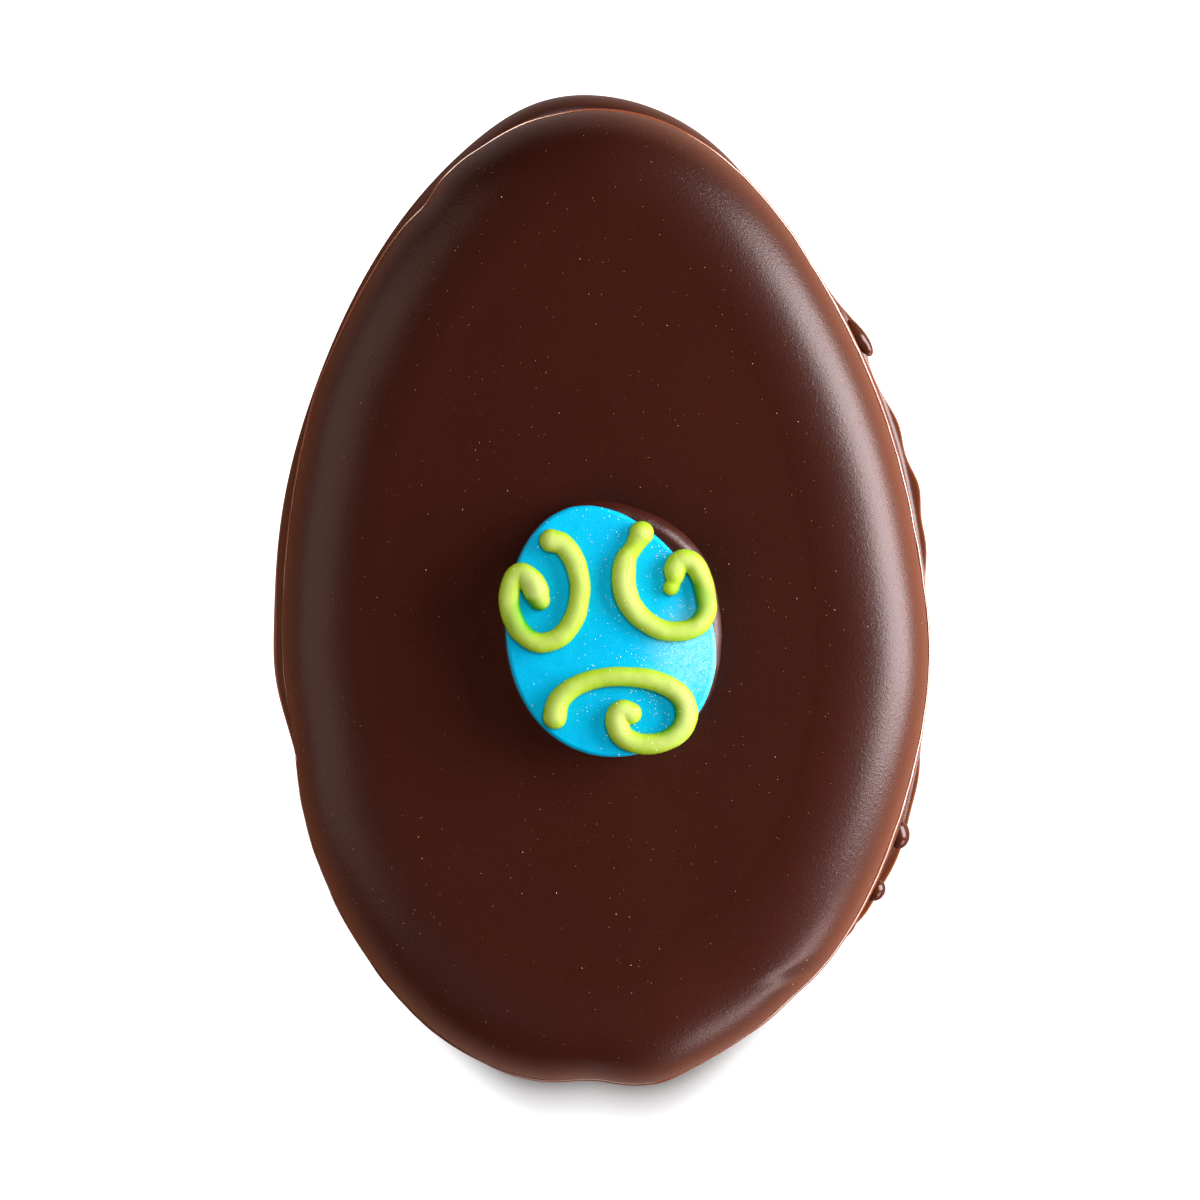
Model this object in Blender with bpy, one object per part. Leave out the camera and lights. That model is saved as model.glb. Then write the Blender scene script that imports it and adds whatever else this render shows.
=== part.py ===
"""A two-layer egg-shaped cake in dark chocolate, with a sugar egg and piped swirls on top.

The narrow end points along +Y, +Z is up, and the middle of the underside is at the origin.
"""
import math

import bmesh
import bpy
import numpy as np

MM = 0.001

# Every size below is in metres. Plan places are measured from the middle of the upper layer.
# A lump on an outline is (direction in degrees, spread in degrees, height), all round its middle.
GAP = 0.3 * MM

LOWER_SIZE = (35.8 * MM, 54.0 * MM, 0.11)    # half width, half length, taper
LOWER_MIDDLE = (-0.1 * MM, 1.8 * MM)
LOWER_HEIGHT = 10.5 * MM
LOWER_LUMPS = ((42, 12, -0.5 * MM), (62, 12, -1.7 * MM), (80, 9, -0.8 * MM), (97, 8, 0.8 * MM),
               (125, 20, 0.65 * MM), (165, 20, 0.35 * MM), (212, 26, -1.3 * MM),
               (318, 12, 0.9 * MM), (345, 14, 1.1 * MM))
FOOT_LUMPS = ((7, 6, 0.9 * MM), (17, 5, 1.2 * MM), (28, 5, 0.8 * MM), (44, 4, 0.9 * MM),
              (190, 14, 0.3 * MM), (308, 3, 0.5 * MM), (316, 8, 0.9 * MM), (328, 5, 0.6 * MM))
FOOT_LEAST = 0.2 * MM
LOWER_EDGE_WIDTH = 2.4 * MM
LOWER_EDGE_HEIGHT = 3.5 * MM

# Drops of chocolate that set round the foot: (plan place, radius)
FOOT_DROPS = (((29.6 * MM, 29.2 * MM), 1.4 * MM), ((34.1 * MM, -26.6 * MM), 1.3 * MM),
              ((31.5 * MM, -32.9 * MM), 1.0 * MM))
DROP_FLATNESS = 0.7
DROP_LIFT = 0.05 * MM

UPPER_SIZE = (35.4 * MM, 54.3 * MM, 0.084)
UPPER_MIDDLE = (0.0, 0.0)
UPPER_BASE = LOWER_HEIGHT + GAP
UPPER_HEIGHT = 12.8 * MM
UPPER_LUMPS = ((348, 20, 1.0 * MM), (55, 22, -0.8 * MM), (106, 7, 0.5 * MM), (124, 8, 0.2 * MM),
               (142, 10, 0.45 * MM), (180, 18, -0.3 * MM), (204, 11, -0.7 * MM), (250, 13, 0.3 * MM),
               (268, 5, -0.7 * MM), (287, 8, -0.6 * MM))
TUCK_WIDTH = 1.6 * MM
TUCK_HEIGHT = 2.6 * MM
SHOULDER_WIDTH = 12.0 * MM
SHOULDER_HEIGHT = 8.6 * MM
SHOULDER_POWER = 2.2                         # 2 is an ellipse, more is squarer
WIDE_SHOULDER = (292, 10, 0.2)               # where the shoulder runs further in, and by what part
CROWN = 0.6 * MM

SUGAR_SIZE = (11.2 * MM, 13.95 * MM, 0.139)
SUGAR_MIDDLE = (0.7 * MM, -3.3 * MM)
SUGAR_LEAN = 18.0                            # degrees, counter-clockwise
SUGAR_EDGE = 2.1 * MM
SUGAR_DOME = 0.6 * MM
DAB_MARGIN = 0.2 * MM
DAB_LUMPS = ((26, 40, 2.2 * MM),)
DAB_HEIGHT = 0.9 * MM

DAB_BASE = UPPER_BASE + UPPER_HEIGHT + GAP
SUGAR_BASE = DAB_BASE + DAB_HEIGHT + GAP

ROPE_WIDTH = 2.3 * MM
ROPE_HEIGHT = 1.6 * MM
ROPE_LIFT = GAP + 0.12 * MM                  # the flat underside clears the dome's slope

# Points that each piped line passes through, from its start to its hook, round the sugar egg
SWIRLS = {
    "swirl_left": ((-6.4, 9.8), (-3.7, 8.5), (-2.8, 5.6), (-3.3, 2.1), (-5.3, -0.6), (-7.9, -1.4),
                   (-10.2, 0.2), (-10.7, 3.2), (-9.8, 5.9), (-8.0, 5.6), (-7.4, 3.2)),
    "swirl_right": ((3.7, 10.7), (2.3, 7.9), (1.9, 4.8), (3.4, 1.9), (6.3, 0.2), (9.4, 0.1),
                    (10.8, 2.1), (10.5, 5.2), (9.2, 7.6), (7.6, 6.7), (6.9, 4.5)),
    "swirl_bottom": ((-5.7, -9.6), (-4.4, -6.9), (-0.8, -5.3), (3.2, -5.0), (6.9, -6.1), (8.7, -8.5),
                     (7.6, -11.1), (4.7, -12.4), (1.9, -11.7), (1.0, -9.6), (2.5, -8.8)),
}
STEPS_PER_SPAN = 3
END_STEPS = 3


def clear_scene():
    for item in list(bpy.data.objects):
        bpy.data.objects.remove(item, do_unlink=True)


def make_material(name, colour, roughness):
    material = bpy.data.materials.new(name)
    material.use_nodes = True
    shader = material.node_tree.nodes["Principled BSDF"]
    shader.inputs["Base Color"].default_value = (*colour, 1.0)
    shader.inputs["Roughness"].default_value = roughness
    shader.inputs["Metallic"].default_value = 0.0
    return material


def lump_height(angles, lumps):
    """How far the lumps push out at each direction, given in degrees."""
    height = np.zeros(len(angles))
    for direction, spread, size in lumps:
        away = (angles - direction + 180) % 360 - 180
        height += size * np.exp(-(away / spread) ** 2)
    return height


def directions(outline):
    return np.degrees(np.arctan2(outline[:, 1], outline[:, 0])) % 360


def egg_outline(size, lumps, count):
    """Evenly spaced points round a tapered ellipse with lumps, counter-clockwise from +X."""
    half_width, half_length, taper = size
    turn = np.linspace(0, 2 * math.pi, 1440, endpoint=False)
    x = half_width * np.cos(turn) * (1 - taper * np.sin(turn))
    outline = np.column_stack((x, half_length * np.sin(turn)))
    reach = np.linalg.norm(outline, axis=1)
    outline *= (1 + lump_height(directions(outline), lumps) / reach)[:, None]
    closed = np.vstack((outline, outline[:1]))
    run = np.concatenate(([0], np.cumsum(np.linalg.norm(np.diff(closed, axis=0), axis=1))))
    even = np.linspace(0, run[-1], count, endpoint=False)
    return np.column_stack((np.interp(even, run, closed[:, 0]), np.interp(even, run, closed[:, 1])))


def outward(outline):
    """Unit vectors square to the outline, pointing out."""
    along = np.roll(outline, -1, axis=0) - np.roll(outline, 1, axis=0)
    normal = np.column_stack((along[:, 1], -along[:, 0]))
    return normal / np.linalg.norm(normal, axis=1)[:, None]


def ring(outline, grow, height):
    """The outline moved out by grow, a number or one for each point, at a height."""
    plan = outline + outward(outline) * np.reshape(grow, (-1, 1))
    return np.column_stack((plan, np.full(len(plan), height)))


def shrunk(rim, share, height):
    """A ring drawn in towards the middle of its own plan, at a height."""
    return np.column_stack((rim[:, :2] * share, np.full(len(rim), height)))


def rounded(width, height, power, steps):
    """(inset, rise) down a rounded edge, from its widest to its highest place."""
    for step in range(steps + 1):
        angle = step / steps * math.pi / 2
        yield width * (1 - math.cos(angle) ** (2 / power)), height * math.sin(angle) ** (2 / power)


def solid(name, rings, material, parent, place=(0.0, 0.0), lean=0.0):
    """One closed body through rings of points, from its flat underside up to its top."""
    bm = bmesh.new()
    loops = [[bm.verts.new(point) for point in points] for points in rings]
    count = len(loops[0])
    for low, high in zip(loops, loops[1:]):
        for i in range(count):
            bm.faces.new((low[i], low[(i + 1) % count], high[(i + 1) % count], high[i]))
    bm.faces.new(loops[0][::-1])
    bm.faces.new(loops[-1])
    bmesh.ops.triangulate(bm, faces=bm.faces[:])
    mesh = bpy.data.meshes.new(name)
    bm.to_mesh(mesh)
    bm.free()
    mesh.materials.append(material)
    mesh.shade_smooth()
    mesh.set_sharp_from_angle(angle=math.radians(50))
    item = bpy.data.objects.new(name, mesh)
    item.location = (*place, 0.0)
    item.rotation_euler = (0.0, 0.0, math.radians(lean))
    item.parent = parent
    bpy.context.collection.objects.link(item)
    return item


def make_lower_layer(material, parent):
    """The lower layer with its thin spreading foot, and the drops joined to it."""
    outline = egg_outline(LOWER_SIZE, LOWER_LUMPS, 112)
    foot = FOOT_LEAST + lump_height(directions(outline), FOOT_LUMPS)
    side = ((0.9, 0.0), (1.0, 0.5 * MM), (0.8, 1.1 * MM), (0.35, 2.0 * MM), (0.1, 3.4 * MM))
    rings = [ring(outline, foot * share, height) for share, height in side]
    start = LOWER_HEIGHT - LOWER_EDGE_HEIGHT
    rings += [ring(outline, -inset, start + rise)
              for inset, rise in rounded(LOWER_EDGE_WIDTH, LOWER_EDGE_HEIGHT, 2, 4)]
    layer = solid("lower_layer", rings, material, parent, LOWER_MIDDLE)
    for number, (place, radius) in enumerate(FOOT_DROPS):
        bpy.ops.mesh.primitive_uv_sphere_add(segments=12, ring_count=8, radius=radius)
        drop = bpy.context.active_object
        drop.name = f"drop_cutter_{number}"
        drop.scale = (1.0, 1.0, DROP_FLATNESS)
        drop.location = (*place, radius * DROP_FLATNESS + DROP_LIFT)
        drop.parent = parent
        drop.hide_render = True
        drop.display_type = "WIRE"
        join = layer.modifiers.new("join_drop", "BOOLEAN")
        join.operation = "UNION"
        join.solver = "EXACT"
        join.object = drop
    return layer


def make_upper_layer(material, parent):
    """The upper layer: tucked in below, steep at the rim, with a broad rounded shoulder."""
    outline = egg_outline(UPPER_SIZE, UPPER_LUMPS, 112)
    direction, spread, extra = WIDE_SHOULDER
    wide = 1 + lump_height(directions(outline), ((direction, spread, extra),))
    tuck = list(rounded(TUCK_WIDTH, TUCK_HEIGHT, 2, 3))
    shoulder_start = UPPER_BASE + UPPER_HEIGHT - CROWN - SHOULDER_HEIGHT
    rings = [ring(outline, -inset, UPPER_BASE + TUCK_HEIGHT - rise) for inset, rise in reversed(tuck)]
    for inset, rise in rounded(SHOULDER_WIDTH, SHOULDER_HEIGHT, SHOULDER_POWER, 8):
        rings.append(ring(outline, -inset * wide, shoulder_start + rise))
    top = shoulder_start + SHOULDER_HEIGHT
    rim = rings[-1]
    rings += [shrunk(rim, share, top + CROWN * (1 - share ** 2)) for share in (0.6, 0.2)]
    return solid("upper_layer", rings, material, parent, UPPER_MIDDLE)


def make_dab(material, parent):
    """The flat dab of chocolate that holds the sugar egg, showing on one side of it."""
    outline = egg_outline(SUGAR_SIZE, (), 48)
    grow = DAB_MARGIN + lump_height(directions(outline), DAB_LUMPS)
    edge = ((0.0, 0.0), (0.1, 0.35), (-0.3, 0.7), (-1.0, 0.95), (-2.2, 1.0))
    rings = [ring(outline, grow + inset * MM, DAB_BASE + share * DAB_HEIGHT) for inset, share in edge]
    return solid("chocolate_dab", rings, material, parent, SUGAR_MIDDLE, SUGAR_LEAN)


def dome_height(share):
    """Height of the sugar egg's top at a share of the way from its middle to its edge."""
    return SUGAR_BASE + SUGAR_EDGE + SUGAR_DOME * (1 - share ** 2)


def make_sugar_egg(material, parent):
    """The moulded sugar egg: a thick disc with a rounded rim and a low dome."""
    outline = egg_outline(SUGAR_SIZE, (), 48)
    below = [(-0.4 * MM, SUGAR_BASE), (-0.1 * MM, SUGAR_BASE + 0.3 * MM)]
    above = [(-inset, SUGAR_BASE + 1.0 * MM + rise) for inset, rise in rounded(0.9 * MM, 1.1 * MM, 2, 4)]
    rings = [ring(outline, grow, height) for grow, height in below + above]
    rim = rings[-1]
    rings += [shrunk(rim, share, dome_height(share)) for share in (0.8, 0.5, 0.2)]
    return solid("icing_egg", rings, material, parent, SUGAR_MIDDLE, SUGAR_LEAN)


def smooth_path(points):
    """A Catmull-Rom curve through the points."""
    ends = (2 * points[0] - points[1], 2 * points[-1] - points[-2])
    padded = np.vstack((ends[0], points, ends[1]))
    path = []
    for before, start, end, after in zip(padded, padded[1:], padded[2:], padded[3:]):
        for step in range(STEPS_PER_SPAN):
            t = step / STEPS_PER_SPAN
            bend = 2 * before - 5 * start + 4 * end - after
            twist = 3 * start - before - 3 * end + after
            path.append((2 * start + (end - before) * t + bend * t ** 2 + twist * t ** 3) / 2)
    return np.array(path + [points[-1]])


def plan_share(place):
    """How far a place lies from the sugar egg's middle, as a share of the way to its edge."""
    half_width, half_length, taper = SUGAR_SIZE
    lean = math.radians(SUGAR_LEAN)
    across = place[0] * math.cos(lean) + place[1] * math.sin(lean)
    along = place[1] * math.cos(lean) - place[0] * math.sin(lean)
    return min(math.hypot(across / (half_width * (1 - taper * along / half_length)), along / half_length), 1.0)


def make_swirl(name, points, material, parent):
    """A piped line of icing with a flat underside and round ends, lying along its path."""
    path = smooth_path(np.array(points) * MM)
    heading = np.gradient(path, axis=0)
    heading /= np.linalg.norm(heading, axis=1)[:, None]
    radius = ROPE_WIDTH / 2
    stations = []
    for step in range(END_STEPS, 0, -1):
        angle = step / (END_STEPS + 0.6) * math.pi / 2
        stations.append((path[0] - heading[0] * radius * math.sin(angle), heading[0], math.cos(angle)))
    stations += [(place, ahead, 1.0) for place, ahead in zip(path, heading)]
    for step in range(1, END_STEPS + 1):
        angle = step / (END_STEPS + 0.6) * math.pi / 2
        stations.append((path[-1] + heading[-1] * radius * math.sin(angle), heading[-1], math.cos(angle)))
    section = ((0.8, 0.0), (1.0, 0.32), (0.78, 0.78), (0.3, 1.0),
               (-0.3, 1.0), (-0.78, 0.78), (-1.0, 0.32), (-0.8, 0.0))
    rings = []
    for place, ahead, share in stations:
        side = np.array((-ahead[1], ahead[0]))
        base = dome_height(plan_share(place)) + ROPE_LIFT
        rings.append([(*(place + side * radius * share * across), base + ROPE_HEIGHT * share * up)
                      for across, up in section])
    return solid(name, rings, material, parent, SUGAR_MIDDLE)


def centre_on_base(parent, items):
    """Move the whole so that the middle of its underside is at the origin."""
    bpy.context.view_layer.update()
    corners = np.array([item.matrix_world @ vertex.co for item in items for vertex in item.data.vertices])
    low, high = corners.min(axis=0), corners.max(axis=0)
    parent.location = (-(low[0] + high[0]) / 2, -(low[1] + high[1]) / 2, -low[2])


def main():
    clear_scene()
    chocolate = make_material("dark_chocolate", (0.045, 0.012, 0.006), 0.38)
    blue = make_material("blue_icing", (0.005, 0.62, 0.9), 0.6)
    green = make_material("green_icing", (0.6, 0.8, 0.1), 0.6)
    egg = bpy.data.objects.new("egg_cake", None)
    bpy.context.collection.objects.link(egg)
    items = [make_lower_layer(chocolate, egg), make_upper_layer(chocolate, egg),
             make_dab(chocolate, egg), make_sugar_egg(blue, egg)]
    items += [make_swirl(name, points, green, egg) for name, points in SWIRLS.items()]
    centre_on_base(egg, items)


main()
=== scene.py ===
"""A two-layer egg cake in dark chocolate, with a sugar egg and piped swirls on top."""
import math

import bpy
import numpy as np
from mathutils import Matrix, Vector


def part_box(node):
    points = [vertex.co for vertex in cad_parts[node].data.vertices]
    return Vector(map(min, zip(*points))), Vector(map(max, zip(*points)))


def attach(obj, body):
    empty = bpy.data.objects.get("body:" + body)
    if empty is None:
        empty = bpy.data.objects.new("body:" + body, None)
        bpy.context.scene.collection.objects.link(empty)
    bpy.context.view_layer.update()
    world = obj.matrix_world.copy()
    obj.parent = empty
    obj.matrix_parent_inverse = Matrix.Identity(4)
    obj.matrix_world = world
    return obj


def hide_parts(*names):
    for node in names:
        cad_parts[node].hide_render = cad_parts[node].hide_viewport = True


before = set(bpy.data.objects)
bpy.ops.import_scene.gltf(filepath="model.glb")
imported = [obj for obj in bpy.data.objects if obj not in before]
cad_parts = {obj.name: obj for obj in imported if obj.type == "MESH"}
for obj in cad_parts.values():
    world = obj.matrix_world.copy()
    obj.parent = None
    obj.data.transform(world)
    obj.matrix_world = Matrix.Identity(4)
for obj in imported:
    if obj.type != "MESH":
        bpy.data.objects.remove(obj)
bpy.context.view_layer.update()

MM = 0.001
DEGREES = 180 / math.pi

# Outlines: half width, half length, taper. A lump is (direction in degrees, spread, height).
UPPER_SIZE = (35.4 * MM, 54.3 * MM, 0.084)
UPPER_LUMPS = ((348, 20, 1.0 * MM), (55, 22, -0.8 * MM), (106, 7, 0.5 * MM), (124, 8, 0.2 * MM),
               (142, 10, 0.45 * MM), (180, 18, -0.3 * MM), (204, 11, -0.7 * MM), (250, 13, 0.3 * MM),
               (268, 5, -0.7 * MM), (287, 8, -0.6 * MM))
UPPER_DENTS = ((104, 3, -0.2 * MM), (114, 2.5, -0.4 * MM), (269.5, 3.5, -0.4 * MM), (277, 3, 0.15 * MM),
               (296, 5, -0.35 * MM))
SHOULDER_SWELL = (292, 10, 0.2)               # where the shoulder is wider, as a share of its width
THIN_COAT_AND_GLOW = ((20, 50, 3.6 * MM), (310, 30, 1.2 * MM))    # where the pale rim band reaches further in: partly a thinner coat, partly painted glow on the lit right side
FOLD = (301, 1.6, -0.5 * MM)                  # a crease pressed into the shoulder while it was soft
FOLD_SLANT = -1500.0                          # degrees it turns for each metre up the shoulder
LOWER_SIZE = (35.8 * MM, 54.0 * MM, 0.11)
LOWER_LUMPS = ((42, 12, -0.5 * MM), (62, 12, -1.6 * MM), (80, 9, -0.2 * MM), (97, 8, 0.6 * MM),
               (125, 20, 0.1 * MM), (165, 20, 0.35 * MM), (197, 9, 0.65 * MM),
               (212, 26, -1.3 * MM), (318, 12, 0.8 * MM), (345, 14, 0.75 * MM))
LOWER_SHIFT = (-0.1 * MM, 1.8 * MM)
FOOT_LUMPS = ((7, 6, 0.9 * MM), (17, 5, 1.2 * MM), (28, 5, 0.8 * MM), (44, 4, 0.9 * MM),
              (190, 14, 0.3 * MM), (308, 3, 0.5 * MM), (316, 8, 0.9 * MM), (328, 5, 0.6 * MM))
# A drop against the foot: its middle, half length, half width, height, and the turn of its length
FOOT_DROPS = ((28.7 * MM, 29.3 * MM, 2.7 * MM, 1.0 * MM, 1.0 * MM, -52.0),
              (33.2 * MM, -26.1 * MM, 1.8 * MM, 1.4 * MM, 1.4 * MM, -80.0),
              (30.7 * MM, -32.4 * MM, 1.3 * MM, 1.2 * MM, 1.3 * MM, 60.0),
              (27.8 * MM, -36.5 * MM, 1.7 * MM, 0.6 * MM, 0.6 * MM, 56.0))
SUGAR_SIZE = (11.3 * MM, 14.15 * MM, 0.139)
SUGAR_SHIFT = (0.74 * MM, -3.43 * MM)
SUGAR_LEAN = math.radians(18.0)
SUGAR_DOME = 0.6 * MM
BEAD_HEIGHT = 2.4 * MM                        # above the top of the lower layer
BEAD_RADIUS = 0.2 * MM
BEAD_SUNK = (278, 14, -0.2 * MM)              # where the bead lies closer to the wall
BEAD_LUMPS = ((278, 14, 0.25 * MM), (200, 45, -0.13 * MM), (38, 20, 0.2 * MM), (320, 16, 0.28 * MM))
DAB_LUMPS = ((26, 40, 2.2 * MM),)

# Control points of the piped lines round the middle of the sugar egg, in mm, with the radius there
SWIRLS = {
    "swirl_left": ((-6.1, 9.9, 1.3), (-4.8, 9.45, 1.25), (-3.7, 8.0, 1.2), (-3.05, 6.1, 1.17),
                   (-2.9, 4.1, 1.15), (-3.5, 1.4, 1.15), (-5.05, -0.7, 1.15), (-7.5, -1.4, 1.13),
                   (-9.7, 0.1, 1.15), (-10.7, 2.8, 1.17), (-10.45, 5.3, 1.1), (-9.5, 6.3, 1.2),
                   (-8.3, 5.4, 1.4), (-7.7, 4.2, 1.45), (-7.35, 3.3, 1.15)),
    "swirl_right": ((3.9, 10.7, 1.38), (3.0, 9.1, 1.02), (2.2, 7.9, 1.18), (1.95, 6.1, 1.35),
                    (2.05, 4.5, 1.35), (2.65, 2.8, 1.3), (4.1, 1.2, 1.22), (6.1, 0.05, 1.15),
                    (8.4, -0.1, 1.12), (10.2, 0.6, 1.14), (11.1, 2.2, 1.12), (10.95, 4.1, 1.14),
                    (10.45, 5.95, 1.14), (9.6, 7.35, 1.22), (8.4, 7.65, 1.3), (7.7, 6.9, 1.3),
                    (7.55, 5.95, 1.12), (7.4, 5.2, 0.84), (7.2, 4.7, 0.92)),
    "swirl_bottom": ((-5.7, -9.65, 1.32), (-5.25, -7.85, 1.25), (-3.6, -6.3, 1.13), (-0.9, -5.35, 1.1),
                     (2.1, -5.15, 1.1), (5.2, -5.55, 1.16), (7.85, -6.9, 1.22), (8.9, -9.0, 1.26),
                     (8.25, -11.05, 1.22), (6.35, -12.3, 1.15), (4.05, -12.6, 1.15),
                     (1.95, -11.8, 1.24), (1.2, -10.15, 1.35), (1.7, -9.0, 1.32), (2.7, -9.2, 1.25)),
}
# Where each piped line turns in on itself; painted shade makes its inner wall a deep green there, in mm
HOLLOWS = ((-8.7, 1.5), (9.7, 3.3), (7.2, -9.9))


def plan_middle():
    """Where the middle of the upper layer's outline lies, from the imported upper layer's box."""
    half_width, half_length, taper = UPPER_SIZE
    turn = np.linspace(0, 2 * math.pi, 2880, endpoint=False)
    x = half_width * np.cos(turn) * (1 - taper * np.sin(turn))
    y = half_length * np.sin(turn)
    direction = np.degrees(np.arctan2(y, x)) % 360
    reach = np.hypot(x, y)
    lump = np.zeros(len(turn))
    for at, spread, height in UPPER_LUMPS:
        away = (direction - at + 180) % 360 - 180
        lump += height * np.exp(-(away / spread) ** 2)
    grown = np.column_stack((x, y)) * (1 + lump / reach)[:, None]
    low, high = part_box("upper_layer")
    box_middle = np.array([(low[axis] + high[axis]) / 2 for axis in (0, 1)])
    return (box_middle - (grown.min(axis=0) + grown.max(axis=0)) / 2).tolist()


MIDDLE = plan_middle()
LOWER_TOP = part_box("lower_layer")[1][2]
UPPER_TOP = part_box("upper_layer")[1][2]
DAB_BOTTOM, DAB_TOP = (corner[2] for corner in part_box("chocolate_dab"))
SUGAR_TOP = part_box("icing_egg")[1][2]
GAP = 0.3 * MM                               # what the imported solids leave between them
SUNK = 0.2 * MM                              # how far a piece reaches into the one below it
SUGAR_MIDDLE = [middle + shift for middle, shift in zip(MIDDLE, SUGAR_SHIFT)]

# How many grains lie on a square metre, and their least and greatest size
BLUE_GRAINS = (4.6e6, 0.045 * MM, 0.1 * MM)
LIME_GRAINS = (0.45e6, 0.045 * MM, 0.095 * MM)
CRUMBS = (1.2e5, 0.04 * MM, 0.1 * MM)
LEAST_UPWARD = 0.35                           # grains lie only where the surface faces up at least this much
FULL_TURN = 6.28

CAMERA_HEIGHT = 3.0
CAMERA_SHIFT = (0.05 * MM, -0.1 * MM)
FRAME_WIDTH = 133.9 * MM
FLOOR_GLOW = 0.16                             # how brightly the card shines close under the cake
TABLE_DROP = 0.05 * MM

# A light's azimuth and elevation in degrees, distance, size, power and colour
WHITE = (1.0, 1.0, 1.0)
RIGHT_SOFTBOX = (11, 20, 0.8, (0.72, 0.5), 15.5, WHITE)
LOWER_RIGHT_CARD = (314, 8, 0.8, (0.4, 0.26), 2.4, (1.0, 0.88, 0.86))
LEFT_CARD = (172, 25, 0.8, (0.9, 0.7), 2.0, (1.0, 0.83, 0.69))
COAT_FILL = (232, 50, 1.0, (0.8, 0.8), 6.4, WHITE)
ICING_FILL = (50, 74, 1.0, (0.5, 0.5), 5.4, WHITE)
LEDGE_LIGHT = (112, 42, 0.8, (0.6, 0.4), 2.5, WHITE)
DAB_LIGHT = (40, 32, 0.8, (0.4, 0.4), 5.0, WHITE)
FLOOR_LIGHT = (90, 85, 1.0, (0.3, 0.3), 10.5, WHITE)
SEAM_LIGHTS = [(azimuth, 32, 0.8, (0.4, 0.5), power, (0.87, 1.0, 0.84)) for azimuth, power in (
    (118, 26.0), (190, 5.0), (262, 4.0), (325, 16.0), (0, 30.0), (42, 34.0))]


class Value:
    """A number, vector or colour that flows out of one node, with arithmetic."""

    def __init__(self, graph, socket):
        self.graph = graph
        self.socket = socket

    def math(self, operation, *others):
        inputs = {place: value for place, value in enumerate((self, *others))}
        return self.graph.add("ShaderNodeMath", {"operation": operation}, inputs)

    def output(self, name):
        return Value(self.graph, self.socket.node.outputs[name])

    def __add__(self, other):
        return self.math("ADD", other)

    __radd__ = __add__

    def __mul__(self, other):
        return self.math("MULTIPLY", other)

    __rmul__ = __mul__

    def __sub__(self, other):
        return self.math("SUBTRACT", other)

    def __rsub__(self, other):
        return (self * -1.0).math("ADD", other)

    def __truediv__(self, other):
        return self.math("DIVIDE", other)

    def __rtruediv__(self, other):
        return (self ** -1.0) * other

    def __pow__(self, other):
        return self.math("POWER", other)


class Graph:
    """Adds nodes to a node tree and joins them up."""

    def __init__(self, tree):
        self.tree = tree

    def add(self, kind, settings=None, inputs=None, out=0):
        """A node by its type, its settings and the values or links of its sockets."""
        node = self.tree.nodes.new(kind)
        for name, value in (settings or {}).items():
            setattr(node, name, value)
        for place, value in (inputs or {}).items():
            if isinstance(value, Value):
                self.tree.links.new(value.socket, node.inputs[place])
            else:
                node.inputs[place].default_value = value
        return Value(self, node.outputs[out])

    def stretch(self, value, start, end, low=0.0, high=1.0, smooth=False):
        """The value carried from one range to another and held at its ends."""
        settings = {"interpolation_type": "SMOOTHSTEP" if smooth else "LINEAR"}
        return self.add("ShaderNodeMapRange", settings, {0: value, 1: start, 2: end, 3: low, 4: high})

    def noise(self, vector, scale, detail=2.0, roughness=0.5, distortion=0.0):
        inputs = {"Vector": vector, "Scale": scale, "Detail": detail, "Roughness": roughness,
                  "Distortion": distortion}
        return self.add("ShaderNodeTexNoise", {}, inputs)

    def distance(self, place, other):
        return self.add("ShaderNodeVectorMath", {"operation": "DISTANCE"}, {0: place, 1: other}, out=1)

    def mix(self, factor, low, high):
        """A blend of two colours."""
        return self.add("ShaderNodeMix", {"data_type": "RGBA"}, {0: factor, 6: low, 7: high}, out=2)


class Maker(Graph):
    """A Geometry Nodes tree with named inputs, ending in Realize Instances and Set Material."""

    def __init__(self, name, sizes):
        super().__init__(bpy.data.node_groups.new(name, "GeometryNodeTree"))
        interface = self.tree.interface
        interface.new_socket("Geometry", in_out="INPUT", socket_type="NodeSocketGeometry")
        interface.new_socket("Geometry", in_out="OUTPUT", socket_type="NodeSocketGeometry")
        self.sizes = dict(sizes)
        self.sockets = {}
        for label, value in sizes.items():
            kind = "NodeSocketInt" if isinstance(value, int) else "NodeSocketFloat"
            self.sockets[label] = interface.new_socket(label, in_out="INPUT", socket_type=kind)
        self.entry = self.tree.nodes.new("NodeGroupInput")

    def size(self, label):
        return Value(self, self.entry.outputs[label])

    def geometry(self):
        return Value(self, self.entry.outputs["Geometry"])

    def finish(self, geometry, material):
        real = self.add("GeometryNodeRealizeInstances", {}, {"Geometry": geometry})
        done = self.add("GeometryNodeSetMaterial", {}, {"Geometry": real, "Material": material})
        leave = self.tree.nodes.new("NodeGroupOutput")
        self.tree.links.new(done.socket, leave.inputs["Geometry"])

    def make(self, name, material, base=None, after=None):
        """The plain mesh object that the tree makes, from a base object where it needs one."""
        holder = base or bpy.data.objects.new(name + "_base", bpy.data.meshes.new(name + "_base"))
        if holder.name not in bpy.context.scene.collection.all_objects:
            bpy.context.scene.collection.objects.link(holder)
        modifier = holder.modifiers.new(name, "NODES")
        modifier.node_group = self.tree
        for label, value in self.sizes.items():
            modifier[self.sockets[label].identifier] = value
        if after:
            after(holder)
        shown = holder.evaluated_get(bpy.context.evaluated_depsgraph_get())
        mesh = bpy.data.meshes.new_from_object(shown)
        mesh.name = name
        mesh.materials.clear()
        mesh.materials.append(material)
        mesh.shade_smooth()
        bpy.data.objects.remove(holder, do_unlink=True)
        item = bpy.data.objects.new(name, mesh)
        bpy.context.scene.collection.objects.link(item)
        return item


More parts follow.
